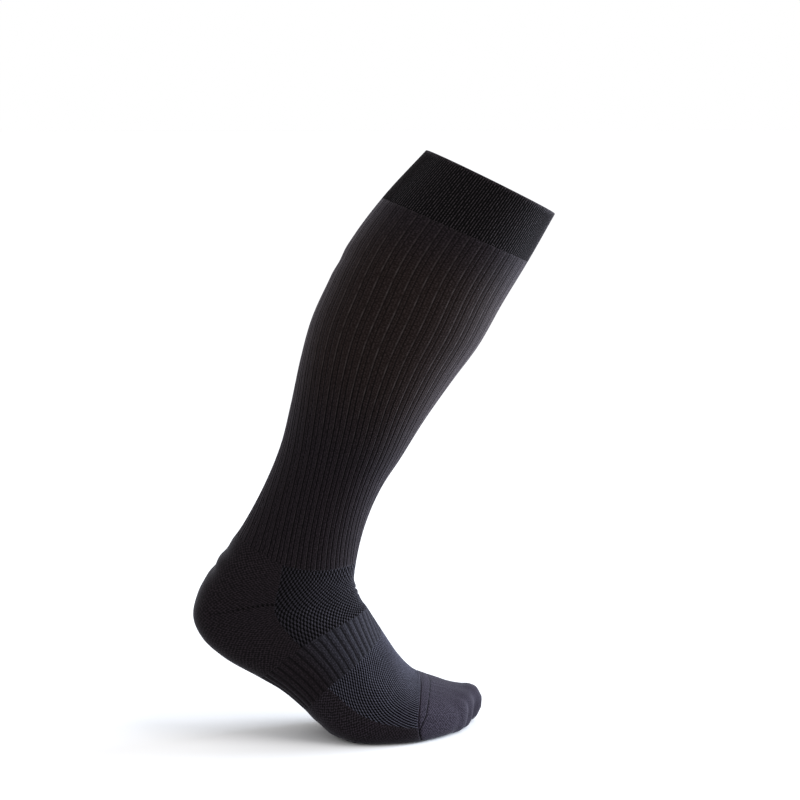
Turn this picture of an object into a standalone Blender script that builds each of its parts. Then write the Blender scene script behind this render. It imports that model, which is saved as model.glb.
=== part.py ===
"""Knee-high compression stocking, in the form it keeps on a leg whose heel is lifted.

The stocking is knitted as one tube, so all its pieces lie under one skin: a surface
with two parameters. `along` is the distance in metres from the rim down to the toe, and
`around` is in turns, 0 on the shin and the top of the foot, rising over the outer side
to 0.5 on the calf, the heel and the sole. The skin follows the rows of SECTIONS. Each
piece is a wall under a stretch of the skin, with its ribs left by grooves in the outer
face, a plain inner face, and a gap of SEAM_GAP to the next piece.

The origin is the centre of the rim, +X points at the toes, +Z up, and the outer side of
the leg is towards -Y.
"""

from collections import namedtuple

import bpy
import numpy as np

MM = 0.001
STOCKING = "compression_stocking"

# A section is a rounded loop across the line from its back (calf, heel, sole) to its
# front (shin, top of the foot). x is forward and z above the floor, in millimetres.
# ridge_y moves the front point towards the big toe's side, and sole_power squares the
# back half of the loop: 2 is an ellipse, 3 is nearly flat with round corners.
# bow is how far the loop's two sides lie back towards the rim from its front and back.
Section = namedtuple(
    "Section",
    "name back_x back_z front_x front_z mid_y half_width ridge_y bow sole_power",
)
SECTIONS = (
    #       name           back_x  back_z front_x front_z mid_y width ridge   bow power
    Section("rim",           21.6,  473.7,  124.5,  422.5,  0.0, 54.0,  0.0,  0.0, 2.1),
    Section("welt_foot",    -14.0,  435.5,  102.5,  384.0,  0.0, 58.0,  0.0,  0.0, 2.1),
    Section("upper_calf",   -39.0,  402.4,   82.0,  350.5,  0.0, 60.0,  0.0,  0.0, 2.1),
    Section("calf",         -57.7,  368.2,   62.5,  316.5,  0.0, 60.5,  0.0,  0.0, 2.1),
    Section("lower_calf",   -70.8,  339.7,   42.0,  289.0,  0.0, 57.5,  0.0,  0.0, 2.1),
    Section("upper_shin",   -80.2,  306.8,   20.0,  258.0,  0.0, 51.5,  0.0,  0.0, 2.1),
    Section("mid_shin",     -88.0,  271.1,    1.0,  227.5,  0.0, 45.0,  0.0,  0.0, 2.1),
    Section("lower_shin",   -96.6,  237.3,  -15.5,  202.0,  0.0, 38.5,  0.0, -1.0, 2.1),
    Section("over_ankle",  -110.6,  203.9,  -28.5,  172.0,  0.0, 35.0,  0.0, -3.0, 2.1),
    Section("ankle",       -122.5,  181.5,  -34.5,  149.0,  0.0, 34.5,  0.0, -5.5, 2.1),
    Section("rib_end",     -132.4,  165.5,  -37.5,  130.0,  0.0, 35.5,  0.0, -6.0, 2.3),
    Section("under_ankle", -150.0,  141.0,  -36.8,  123.5,  0.0, 37.5,  0.0, -3.0, 2.5),
    Section("heel_top",    -164.0,  118.0,  -35.3,  118.0,  0.0, 36.5,  0.0,  0.0, 2.6),
    Section("heel_back",   -168.0,   97.5,  -33.5,  113.7,  0.0, 35.0,  0.0,  3.0, 2.7),
    Section("heel_turn",   -161.0,   82.0,  -31.8,  110.2,  0.0, 34.5,  1.0,  6.0, 2.8),
    Section("heel_base",   -147.0,   68.5,  -29.8,  107.0,  0.0, 34.5,  2.0,  8.0, 2.9),
    Section("arch_back",   -116.0,   49.5,  -26.8,  103.0, -0.5, 36.0,  4.0,  9.0, 2.8),
    Section("arch_middle",  -98.0,   38.5,  -17.5,   88.0, -1.0, 38.5,  6.0, 10.0, 2.8),
    Section("arch_front",   -80.0,   23.0,   -7.5,   72.0, -1.5, 41.5,  8.0, 11.0, 2.8),
    Section("ball_back",    -61.0,    5.0,   -1.5,   63.0, -2.5, 46.0, 10.0, 10.0, 3.0),
    Section("ball",         -38.0,   -5.0,    6.0,   54.0, -3.0, 50.0, 12.0,  8.0, 3.2),
    Section("forefoot",     -12.0,   -5.5,   13.0,   47.5, -2.5, 50.5, 13.0,  8.0, 3.2),
    Section("toe_seam",      15.0,   -5.0,   20.5,   43.5, -1.5, 48.0, 14.0,  8.0, 3.1),
    Section("toe_root",      29.0,   -4.5,   33.0,   38.5,  2.5, 42.5, 13.0,  6.0, 2.9),
    Section("toe_joint",     41.0,   -4.0,   44.0,   34.5,  8.0, 36.0,  9.0,  3.0, 2.8),
    Section("toe_pads",      51.0,   -2.5,   53.5,   32.5, 13.0, 29.5,  6.0,  1.0, 2.7),
    Section("toe_tips",      59.5,    0.0,   61.0,   31.5, 19.5, 20.5,  3.0,  0.0, 2.6),
    Section("toe_round",     65.5,    4.0,   66.5,   28.5, 23.5, 14.0,  1.0,  0.0, 2.4),
    Section("toe_end",       70.0,   11.5,   70.5,   21.5, 25.0,  6.5,  0.0,  0.0, 2.2),
)
FRONT_POWER = 2.1
FLOOR_SOFTNESS = 1.5 * MM  # how softly the sole turns up from where it is pressed flat

# Each piece runs between two sections. Its wall is divided into rows of cells along the
# tube and columns around it. Its colour is linear RGB; black yarns differ a little.
Piece = namedtuple("Piece", "name start end rows columns thickness colour roughness")
PIECES = (
    #     name             start         end         rows cols thickness colour                 rough
    Piece("welt",          "rim",        "welt_foot",   4,  96, 2.4 * MM, (0.010, 0.010, 0.012), 0.82),
    Piece("leg_calf",      "welt_foot",  "lower_calf",  5,  34, 1.6 * MM, (0.012, 0.012, 0.014), 0.78),
    Piece("leg_shin",      "lower_calf", "lower_shin",  5,  34, 1.6 * MM, (0.012, 0.012, 0.014), 0.78),
    Piece("leg_ankle",     "lower_shin", "rib_end",     4,  34, 1.6 * MM, (0.012, 0.012, 0.014), 0.78),
    Piece("ankle_mesh",    "rib_end",    "arch_back",   9,  28, 1.4 * MM, (0.014, 0.015, 0.019), 0.72),
    Piece("heel_pocket",   "rib_end",    "arch_back",   9,  26, 2.0 * MM, (0.011, 0.011, 0.013), 0.85),
    Piece("arch_band",     "arch_back",  "arch_front",  4,  47, 1.9 * MM, (0.012, 0.012, 0.014), 0.78),
    Piece("forefoot_mesh", "arch_front", "toe_seam",    6,  28, 1.6 * MM, (0.014, 0.015, 0.019), 0.72),
    Piece("sole",          "arch_front", "toe_seam",    6,  24, 2.2 * MM, (0.011, 0.011, 0.013), 0.85),
    Piece("toe_cap",       "toe_seam",   "toe_end",     9,  64, 1.8 * MM, (0.017, 0.016, 0.020), 0.80),
)
PIECE = {piece.name: piece for piece in PIECES}

# A border between pieces that lies nearer the rim on top than at the sides: by how much on
# top, and the turns from the front between which it comes down to its section.
Rise = namedtuple("Rise", "height top foot")
RISES = {
    "rib_end": Rise(12 * MM, 0.03, 0.31),
    "arch_front": Rise(18 * MM, -0.05, 0.28),
    "toe_seam": Rise(7 * MM, 0.0, 0.34),
}

SEAM_GAP = 0.3 * MM
# The side edges of the heel pocket and of the sole, in turns at their start, middle and end.
HEEL_SEAM = (0.290, 0.255, 0.275)
SOLE_SEAM = (0.305, 0.285, 0.292)

# A rib's profile, one rib to each column of its piece: places across it in shares of its
# width, and how deep the knit lies at each.
RibPoint = namedtuple("RibPoint", "place depth")
LEG_RIB = (  # a broad band of three wales, then a single wale between two grooves
    RibPoint(0.00, 0.0),
    RibPoint(0.60, 0.0),
    RibPoint(0.67, 0.5 * MM),
    RibPoint(0.79, 0.1 * MM),
    RibPoint(0.91, 0.5 * MM),
)
ARCH_RIB = (  # the groove has its middle on the rib's border
    RibPoint(0.00, 0.7 * MM),
    RibPoint(0.26, 0.0),
    RibPoint(0.74, 0.0),
)
LEG_TWIST = -0.13  # turns that the leg's ribs have wandered by at the ankle
ARCH_LEAN = 1.3  # turns a metre that the arch's ribs lean by on top of the foot
ARCH_LEAN_REACH = 0.65  # turns around the top of the foot in which they lean

RIM_ROUND = 0.8 * MM  # rounding of the folded rim
RIM_ROUND_END = 0.27 * MM  # where the rounding ends, below the rim
TOE_CLEFT_DEPTH = 4.5 * MM  # the dip beside the big toe, on the sole's side
TOE_CLEFT_ON_TOP = 0.2  # its depth on top, as a share
TOE_CLEFT_TOP = 0.1  # turns from the front where it starts to deepen
TOE_CLEFT_FOOT = 0.3  # and where it is at its deepest
TOE_CLEFT_Y = 9 * MM
TOE_CLEFT_WIDTH = 6 * MM

LOOP_SAMPLES = 360
HEADING_STEP = 2 * MM
NORMAL_STEP_ALONG = 0.5 * MM
NORMAL_STEP_AROUND = 0.002
SHARP_EDGE = np.radians(40)


def section_rows():
    """The table in metres, one row for each section, with the power left as it is."""
    rows = np.array([section[1:] for section in SECTIONS], float)
    rows[:, :-1] *= MM
    return rows


def section_stations(rows):
    """How far along each section lies: the mean travel of its back, front and two sides."""
    middle = (rows[:, 0:2] + rows[:, 2:4]) / 2
    outer = np.column_stack([middle, rows[:, 4] - rows[:, 5]])
    inner = np.column_stack([middle, rows[:, 4] + rows[:, 5]])
    paths = (rows[:, 0:2], rows[:, 2:4], outer, inner)
    travel = [np.linalg.norm(np.diff(path, axis=0), axis=1) for path in paths]
    return np.concatenate([[0.0], np.cumsum(np.mean(travel, axis=0))])


ROWS = section_rows()
STATIONS = section_stations(ROWS)
SLOPES = np.gradient(ROWS, STATIONS, axis=0)
STATION = {section.name: place for section, place in zip(SECTIONS, STATIONS)}
RIM_CENTRE = np.array([ROWS[0, 0] + ROWS[0, 2], 0.0, ROWS[0, 1] + ROWS[0, 3]]) / 2


def section_at(along):
    """The table's columns at each place along, on a smooth cubic through its rows."""
    along = np.clip(along, 0.0, STATIONS[-1])
    first = np.clip(np.searchsorted(STATIONS, along, side="right") - 1, 0, len(STATIONS) - 2)
    span = (STATIONS[first + 1] - STATIONS[first])[:, None]
    t = (along[:, None] - STATIONS[first][:, None]) / span
    start = (2 * t**3 - 3 * t**2 + 1) * ROWS[first]
    end = (3 * t**2 - 2 * t**3) * ROWS[first + 1]
    leave = (t**3 - 2 * t**2 + t) * span * SLOPES[first]
    arrive = (t**3 - t**2) * span * SLOPES[first + 1]
    return start + end + leave + arrive


def heading_at(along):
    """Unit direction of the middle line, in x and z, towards the toe."""
    before, after = section_at(along - HEADING_STEP), section_at(along + HEADING_STEP)
    travel = (after[:, 0:2] + after[:, 2:4]) - (before[:, 0:2] + before[:, 2:4])
    return travel / np.linalg.norm(travel, axis=1, keepdims=True)


def loops(along):
    """Each section's closed loop: a superellipse from front to back, bowed along the
    tube at its sides and pressed softly on the floor."""
    columns = np.moveaxis(section_at(along)[:, :, None], 1, 0)
    back_x, back_z, front_x, front_z, mid_y, half_width, ridge_y, bow, sole_power = columns
    heading = heading_at(along)[:, :, None]
    angle = np.linspace(0.0, 2 * np.pi, LOOP_SAMPLES + 1)
    power = np.where(np.cos(angle) > 0, FRONT_POWER, sole_power)
    forward = np.sign(np.cos(angle)) * np.abs(np.cos(angle)) ** (2 / power)
    outward = np.sign(np.sin(angle)) * np.abs(np.sin(angle)) ** (2 / power)
    setback = bow * (1 - forward**2)
    x = (front_x + back_x) / 2 + (front_x - back_x) / 2 * forward - setback * heading[:, 0]
    y = mid_y - half_width * outward + ridge_y * np.maximum(forward, 0) ** 2
    height = (front_z + back_z) / 2 + (front_z - back_z) / 2 * forward - setback * heading[:, 1]
    z = FLOOR_SOFTNESS * np.logaddexp(0, height / FLOOR_SOFTNESS)
    return np.stack([x, y, z], axis=-1) - RIM_CENTRE


def skin(around, along):
    """Points of the outer face, at places around and along in two arrays of one shape.

    Each side of a loop, from its front to its back, is divided by its own length of
    cloth, so that the wales are evenly spaced.
    """
    half = LOOP_SAMPLES // 2
    points = []
    for turn, loop in zip(np.mod(around.ravel(), 1.0), loops(along.ravel())):
        length = np.concatenate([[0.0], np.cumsum(np.linalg.norm(np.diff(loop, axis=0), axis=1))])
        outer_side = 0.5 * length[: half + 1] / length[half]
        inner_side = 0.5 + 0.5 * (length[half + 1 :] - length[half]) / (length[-1] - length[half])
        places = np.concatenate([outer_side, inner_side])
        points.append([np.interp(turn, places, loop[:, axis]) for axis in range(3)])
    return np.reshape(points, (*around.shape, 3))


def skin_normals(around, along):
    """Unit normals of the skin, pointing out, from small steps around and along."""
    step_around = skin(around + NORMAL_STEP_AROUND, along) - skin(around - NORMAL_STEP_AROUND, along)
    step_along = skin(around, along + NORMAL_STEP_ALONG) - skin(around, along - NORMAL_STEP_ALONG)
    normals = np.cross(step_around, step_along)
    return normals / np.linalg.norm(normals, axis=-1, keepdims=True)


def part_seams(grid, closed, tip):
    """Moves a piece's borders in by half of the seam gap, all but the row at a tip."""

    def pull(border, inside):
        direction = inside - border
        return border + direction * (SEAM_GAP / 2 / np.linalg.norm(direction, axis=-1, keepdims=True))

    parted = grid.copy()
    parted[0] = pull(grid[0], grid[1])
    if not tip:
        parted[-1] = pull(grid[-1], grid[-2])
    if not closed:
        parted[:, 0] = pull(parted[:, 0], parted[:, 1])
        parted[:, -1] = pull(parted[:, -1], parted[:, -2])
    return parted


def wall_faces(outer, inner, points_a_cell, closed, tip):
    """Faces of a wall between two grids of vertex numbers.

    The outer grid has points_a_cell columns for each column of the inner one. A rim is
    one many-sided face for each inner column, and a tip has none. An open wall also has
    its two side edges.
    """
    if closed:
        outer = np.column_stack([outer, outer[:, 0]])
        inner = np.column_stack([inner, inner[:, 0]])
    faces = []
    for row in range(len(outer) - 1):
        near, far = outer[row], outer[row + 1]
        faces += [(near[j], near[j + 1], far[j + 1], far[j]) for j in range(len(near) - 1)]
        near, far = inner[row], inner[row + 1]
        faces += [(near[j], far[j], far[j + 1], near[j + 1]) for j in range(len(near) - 1)]
        if not closed:
            faces.append((outer[row, 0], outer[row + 1, 0], inner[row + 1, 0], inner[row, 0]))
            faces.append((outer[row + 1, -1], outer[row, -1], inner[row, -1], inner[row + 1, -1]))
    for cell in range(inner.shape[1] - 1):
        run = slice(cell * points_a_cell, (cell + 1) * points_a_cell + 1)
        faces.append((*outer[0, run][::-1], inner[0, cell], inner[0, cell + 1]))
        if not tip:
            faces.append((*outer[-1, run], inner[-1, cell + 1], inner[-1, cell]))
    return faces


def tip_faces(outer, inner, outer_tip, inner_tip):
    """The two fans that close the last rows of a closed wall on their tip points."""
    faces = [(a, b, outer_tip) for a, b in zip(outer[-1], np.roll(outer[-1], -1))]
    faces += [(b, a, inner_tip) for a, b in zip(inner[-1], np.roll(inner[-1], -1))]
    return faces


def make_material(piece):
    """The piece's own Principled material."""
    material = bpy.data.materials.new(piece.name + "_knit")
    material.use_nodes = True
    shader = material.node_tree.nodes["Principled BSDF"]
    shader.inputs["Base Color"].default_value = (*piece.colour, 1.0)
    shader.inputs["Roughness"].default_value = piece.roughness
    shader.inputs["Metallic"].default_value = 0.0
    material.diffuse_color = (*piece.colour, 1.0)
    return material


def make_wall(piece, along, around, outer_depth, inner_depth, points_a_cell=1, closed=True, tip=False):
    """A piece's wall between two depths under the skin, all of them numbers or grids."""
    around, along = np.broadcast_arrays(around, along)
    points = skin(around, along)
    normals = skin_normals(around, along)
    outer_points = part_seams(points - normals * np.atleast_2d(outer_depth)[..., None], closed, tip)
    inner_points = points - normals * np.atleast_2d(inner_depth)[..., None]
    inner_points = part_seams(inner_points[:, ::points_a_cell], closed, tip)
    outer = np.arange(outer_points[..., 0].size).reshape(outer_points.shape[:2])
    inner = outer.size + np.arange(inner_points[..., 0].size).reshape(inner_points.shape[:2])
    vertices = np.concatenate([outer_points.reshape(-1, 3), inner_points.reshape(-1, 3)])
    faces = wall_faces(outer, inner, points_a_cell, closed, tip)
    if tip:
        tips = [outer_points[-1].mean(axis=0), inner_points[-1].mean(axis=0)]
        faces += tip_faces(outer, inner, len(vertices), len(vertices) + 1)
        vertices = np.concatenate([vertices, tips])
    mesh = bpy.data.meshes.new(piece.name)
    mesh.from_pydata(vertices.tolist(), [], [tuple(int(v) for v in face) for face in faces])
    mesh.validate()
    mesh.shade_smooth()
    mesh.set_sharp_from_angle(angle=SHARP_EDGE)
    mesh.materials.append(make_material(piece))
    bpy.data.collections[STOCKING].objects.link(bpy.data.objects.new(piece.name, mesh))


def smooth(value):
    """A smooth step from 0 to 1."""
    t = np.clip(value, 0, 1)
    return t * t * (3 - 2 * t)


def from_front(around):
    """Turns from the front, signed, for each place around."""
    return np.mod(around + 0.5, 1.0) - 0.5


def border(section, around):
    """How far along a section's border lies at each place around."""
    if section not in RISES:
        return np.full_like(around, STATION[section])
    rise = RISES[section]
    down = smooth((np.abs(from_front(around)) - rise.top) / (rise.foot - rise.top))
    return STATION[section] - rise.height * (1 - down)


def rows_along(piece, around):
    """Evenly spaced places along a piece at each place around, a row for each border
    of its rows of cells."""
    way = np.linspace(0, 1, piece.rows + 1)[:, None]
    return (1 - way) * border(piece.start, around) + way * border(piece.end, around)


def whole_turn(piece):
    """Evenly spaced places around the tube, on the borders of a piece's columns."""
    return np.arange(piece.columns) / piece.columns


def seam_edge(seam, rows):
    """A side seam's place around in each row, on a parabola through its three values."""
    parabola = np.polyfit((0.0, 0.5, 1.0), seam, 2)
    return np.polyval(parabola, np.linspace(0, 1, rows + 1))[:, None]


def over_front(piece, seam):
    """Places around over the front, from the inner side's seam to the outer side's."""
    return seam_edge(seam, piece.rows) * np.linspace(-1, 1, piece.columns + 1)


def over_back(piece, seam):
    """Places around over the back, from the outer side's seam to the inner side's."""
    return 0.5 + (0.5 - seam_edge(seam, piece.rows)) * np.linspace(-1, 1, piece.columns + 1)


def ribbed_turn(piece, profile):
    """Places around the tube and the depth at each, with a rib's profile in each column."""
    places = [point.place / piece.columns for point in profile]
    depths = [point.depth for point in profile]
    return np.add.outer(whole_turn(piece), places).ravel(), np.tile(depths, piece.columns)


def make_welt(piece):
    """The doubled band at the top, folded over at the rim, which is left round."""
    around = whole_turn(piece)
    along = np.insert(rows_along(piece, around), 1, RIM_ROUND_END, axis=0)
    rounding = np.zeros((len(along), 1))
    rounding[0] = RIM_ROUND
    make_wall(piece, along, around, rounding, piece.thickness - rounding)


def make_leg(piece):
    """A stretch of the ribbed tube from the band to the ankle, whose ribs wander round."""
    places, depth = ribbed_turn(piece, LEG_RIB)
    sections = np.linspace(STATION[piece.start], STATION[piece.end], piece.rows + 1)[:, None]
    way_down = (sections - STATION["welt_foot"]) / (STATION["rib_end"] - STATION["welt_foot"])
    around = places + LEG_TWIST * way_down**2
    make_wall(piece, rows_along(piece, around), around, depth, piece.thickness, len(LEG_RIB))


def make_arch_band(piece):
    """The ribbed band that grips the arch; its ribs lean over on top of the foot."""
    places, depth = ribbed_turn(piece, ARCH_RIB)
    lean = ARCH_LEAN * np.maximum(np.cos(np.pi * from_front(places) / ARCH_LEAN_REACH), 0)
    breadth = STATION[piece.end] - STATION[piece.start]
    around = places + lean * breadth * np.linspace(-0.5, 0.5, piece.rows + 1)[:, None]
    make_wall(piece, rows_along(piece, around), around, depth, piece.thickness, len(ARCH_RIB))


def make_panel(piece, around):
    """A plain stretch of knit over the front or the back of the tube."""
    make_wall(piece, rows_along(piece, around), around, 0.0, piece.thickness, closed=False)


def make_toe_cap(piece):
    """The toe pocket, with a soft dip beside the big toe, closed at its end."""
    around = np.broadcast_to(whole_turn(piece), (piece.rows + 1, piece.columns))
    along = rows_along(piece, around)
    across = (skin(around, along)[..., 1] - TOE_CLEFT_Y) / TOE_CLEFT_WIDTH
    reach = np.clip((along - STATION["toe_root"]) / (STATION["toe_tips"] - STATION["toe_root"]), 0, 1)
    under = smooth((np.abs(from_front(around)) - TOE_CLEFT_TOP) / (TOE_CLEFT_FOOT - TOE_CLEFT_TOP))
    share = TOE_CLEFT_ON_TOP + (1 - TOE_CLEFT_ON_TOP) * under
    cleft = TOE_CLEFT_DEPTH * share * reach**2 * np.exp(-(across**2))
    make_wall(piece, along, around, cleft, cleft + piece.thickness, tip=True)


for old in list(bpy.data.objects):
    bpy.data.objects.remove(old, do_unlink=True)
bpy.context.scene.collection.children.link(bpy.data.collections.new(STOCKING))
make_welt(PIECE["welt"])
# The ribbed leg is one zone of the knit. It is cut straight across into three walls.
for stretch in ("leg_calf", "leg_shin", "leg_ankle"):
    make_leg(PIECE[stretch])
make_panel(PIECE["ankle_mesh"], over_front(PIECE["ankle_mesh"], HEEL_SEAM))
make_panel(PIECE["heel_pocket"], over_back(PIECE["heel_pocket"], HEEL_SEAM))
make_arch_band(PIECE["arch_band"])
make_panel(PIECE["forefoot_mesh"], over_front(PIECE["forefoot_mesh"], SOLE_SEAM))
make_panel(PIECE["sole"], over_back(PIECE["sole"], SOLE_SEAM))
make_toe_cap(PIECE["toe_cap"])
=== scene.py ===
"""Knee-high compression stocking, dressed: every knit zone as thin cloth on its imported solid.

The stocking is one knitted tube, so all its pieces lie under one skin with two
parameters. `along` is the distance in metres from the rim down to the toe, and `around`
is in turns, 0 on the shin and the top of the foot, rising over the outer side to 0.5 on
the calf, the heel and the sole. The sections go from the rim to the toe, in the order
in which the machine knits.
"""

from collections import namedtuple
from math import radians

import bpy
import numpy as np
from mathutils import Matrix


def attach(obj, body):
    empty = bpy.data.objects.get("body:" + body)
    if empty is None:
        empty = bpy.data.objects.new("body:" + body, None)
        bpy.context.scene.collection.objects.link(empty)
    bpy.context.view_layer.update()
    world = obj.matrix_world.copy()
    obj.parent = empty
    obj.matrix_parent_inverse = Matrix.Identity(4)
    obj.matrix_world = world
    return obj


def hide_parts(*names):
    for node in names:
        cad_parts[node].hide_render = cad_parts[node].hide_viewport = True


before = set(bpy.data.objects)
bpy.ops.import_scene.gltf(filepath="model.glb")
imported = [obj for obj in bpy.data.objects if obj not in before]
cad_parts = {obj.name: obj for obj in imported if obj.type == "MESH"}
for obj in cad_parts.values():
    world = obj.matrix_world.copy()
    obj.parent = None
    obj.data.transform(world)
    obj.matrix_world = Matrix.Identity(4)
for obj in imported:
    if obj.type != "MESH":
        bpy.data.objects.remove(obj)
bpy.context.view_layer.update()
MM = 0.001

# ---------------------------------------------------------------------------
# The welt: the doubled top band that grips under the knee. It is knitted first, in a
# fine rib of single wales with an elastic yarn, and folded over, so the rim is a fold.

# A section is a rounded loop across the tube, from its back (calf, heel, sole) to its
# front (shin, top of the foot): x forward and z above the floor, in millimetres.
Section = namedtuple(
    "Section",
    "name back_x back_z front_x front_z mid_y half_width ridge_y bow sole_power",
)
SECTIONS = (
    #       name           back_x  back_z front_x front_z mid_y width ridge   bow power
    Section("rim",           21.6,  473.7,  124.5,  422.5,  0.0, 54.0,  0.0,  0.0, 2.1),
    Section("welt_foot",    -14.0,  435.5,  102.5,  384.0,  0.0, 58.0,  0.0,  0.0, 2.1),
    Section("upper_calf",   -39.0,  402.4,   82.0,  350.5,  0.0, 60.0,  0.0,  0.0, 2.1),
    Section("calf",         -57.7,  368.2,   62.5,  316.5,  0.0, 60.5,  0.0,  0.0, 2.1),
    Section("lower_calf",   -70.8,  339.7,   42.0,  289.0,  0.0, 57.5,  0.0,  0.0, 2.1),
    Section("upper_shin",   -80.2,  306.8,   20.0,  258.0,  0.0, 51.5,  0.0,  0.0, 2.1),
    Section("mid_shin",     -88.0,  271.1,    1.0,  227.5,  0.0, 45.0,  0.0,  0.0, 2.1),
    Section("lower_shin",   -96.6,  237.3,  -15.5,  202.0,  0.0, 38.5,  0.0, -1.0, 2.1),
    Section("over_ankle",  -110.6,  203.9,  -28.5,  172.0,  0.0, 35.0,  0.0, -3.0, 2.1),
    Section("ankle",       -122.5,  181.5,  -34.5,  149.0,  0.0, 34.5,  0.0, -5.5, 2.1),
    Section("rib_end",     -132.4,  165.5,  -37.5,  130.0,  0.0, 35.5,  0.0, -6.0, 2.3),
    Section("under_ankle", -150.0,  141.0,  -36.8,  123.5,  0.0, 37.5,  0.0, -3.0, 2.5),
    Section("heel_top",    -164.0,  118.0,  -35.3,  118.0,  0.0, 36.5,  0.0,  0.0, 2.6),
    Section("heel_back",   -168.0,   97.5,  -33.5,  113.7,  0.0, 35.0,  0.0,  3.0, 2.7),
    Section("heel_turn",   -161.0,   82.0,  -31.8,  110.2,  0.0, 34.5,  1.0,  6.0, 2.8),
    Section("heel_base",   -147.0,   68.5,  -29.8,  107.0,  0.0, 34.5,  2.0,  8.0, 2.9),
    Section("arch_back",   -116.0,   49.5,  -26.8,  103.0, -0.5, 36.0,  4.0,  9.0, 2.8),
    Section("arch_middle",  -98.0,   38.5,  -17.5,   88.0, -1.0, 38.5,  6.0, 10.0, 2.8),
    Section("arch_front",   -80.0,   23.0,   -7.5,   72.0, -1.5, 41.5,  8.0, 11.0, 2.8),
    Section("ball_back",    -61.0,    5.0,   -1.5,   63.0, -2.5, 46.0, 10.0, 10.0, 3.0),
    Section("ball",         -38.0,   -5.0,    6.0,   54.0, -3.0, 50.0, 12.0,  8.0, 3.2),
    Section("forefoot",     -12.0,   -5.5,   13.0,   47.5, -2.5, 50.5, 13.0,  8.0, 3.2),
    Section("toe_seam",      15.0,   -5.0,   20.5,   43.5, -1.5, 48.0, 14.0,  8.0, 3.1),
    Section("toe_root",      29.0,   -4.5,   33.0,   38.5,  2.5, 42.5, 13.0,  6.0, 2.9),
    Section("toe_joint",     41.0,   -4.0,   44.0,   34.5,  8.0, 36.0,  9.0,  3.0, 2.8),
    Section("toe_pads",      51.0,   -2.5,   53.5,   32.5, 13.0, 29.5,  6.0,  1.0, 2.7),
    Section("toe_tips",      59.5,    0.0,   61.0,   31.5, 19.5, 20.5,  3.0,  0.0, 2.6),
    Section("toe_round",     65.5,    4.0,   66.5,   28.5, 23.5, 14.0,  1.0,  0.0, 2.4),
    Section("toe_end",       70.0,   11.5,   70.5,   21.5, 25.0,  6.5,  0.0,  0.0, 2.2),
)
FRONT_POWER = 2.1
FLOOR_SOFTNESS = 1.5 * MM
LOOP_SAMPLES = 1440
HEADING_STEP = 2 * MM

ROWS = np.array([section[1:] for section in SECTIONS], float)
ROWS[:, :-1] *= MM
MIDDLE = (ROWS[:, 0:2] + ROWS[:, 2:4]) / 2
PATHS = (
    ROWS[:, 0:2],
    ROWS[:, 2:4],
    np.column_stack([MIDDLE, ROWS[:, 4] - ROWS[:, 5]]),
    np.column_stack([MIDDLE, ROWS[:, 4] + ROWS[:, 5]]),
)
TRAVEL = np.mean([np.linalg.norm(np.diff(path, axis=0), axis=1) for path in PATHS], axis=0)
STATIONS = np.concatenate([[0.0], np.cumsum(TRAVEL)])
SLOPES = np.gradient(ROWS, STATIONS, axis=0)
STATION = {section.name: place for section, place in zip(SECTIONS, STATIONS)}
RIM_CENTRE = np.array([ROWS[0, 0] + ROWS[0, 2], 0.0, ROWS[0, 1] + ROWS[0, 3]]) / 2


def section_at(along):
    """The table's columns at each place along, on a smooth cubic through its rows."""
    along = np.clip(along, 0.0, STATIONS[-1])
    first = np.clip(np.searchsorted(STATIONS, along, side="right") - 1, 0, len(STATIONS) - 2)
    span = (STATIONS[first + 1] - STATIONS[first])[:, None]
    t = (along[:, None] - STATIONS[first][:, None]) / span
    start = (2 * t**3 - 3 * t**2 + 1) * ROWS[first]
    end = (3 * t**2 - 2 * t**3) * ROWS[first + 1]
    leave = (t**3 - 2 * t**2 + t) * span * SLOPES[first]
    arrive = (t**3 - t**2) * span * SLOPES[first + 1]
    return start + end + leave + arrive


def loops(along):
    """A superellipse for each place along: forward = sign(cos a)|cos a|^(2/power) and
    outward likewise of sin a, bowed back along the tube at its sides and pressed softly
    on the floor by a smooth maximum of its height and zero."""
    columns = np.moveaxis(section_at(along)[:, :, None], 1, 0)
    back_x, back_z, front_x, front_z, mid_y, half_width, ridge_y, bow, sole_power = columns
    before, after = section_at(along - HEADING_STEP), section_at(along + HEADING_STEP)
    heading = (after[:, 0:2] + after[:, 2:4]) - (before[:, 0:2] + before[:, 2:4])
    heading = (heading / np.linalg.norm(heading, axis=1, keepdims=True))[:, :, None]
    angle = np.linspace(0.0, 2 * np.pi, LOOP_SAMPLES + 1)
    power = np.where(np.cos(angle) > 0, FRONT_POWER, sole_power)
    forward = np.sign(np.cos(angle)) * np.abs(np.cos(angle)) ** (2 / power)
    outward = np.sign(np.sin(angle)) * np.abs(np.sin(angle)) ** (2 / power)
    setback = bow * (1 - forward**2)
    x = (front_x + back_x) / 2 + (front_x - back_x) / 2 * forward - setback * heading[:, 0]
    y = mid_y - half_width * outward + ridge_y * np.maximum(forward, 0) ** 2
    height = (front_z + back_z) / 2 + (front_z - back_z) / 2 * forward - setback * heading[:, 1]
    z = FLOOR_SOFTNESS * np.logaddexp(0, height / FLOOR_SOFTNESS)
    return np.stack([x, y, z], axis=-1) - RIM_CENTRE


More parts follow.
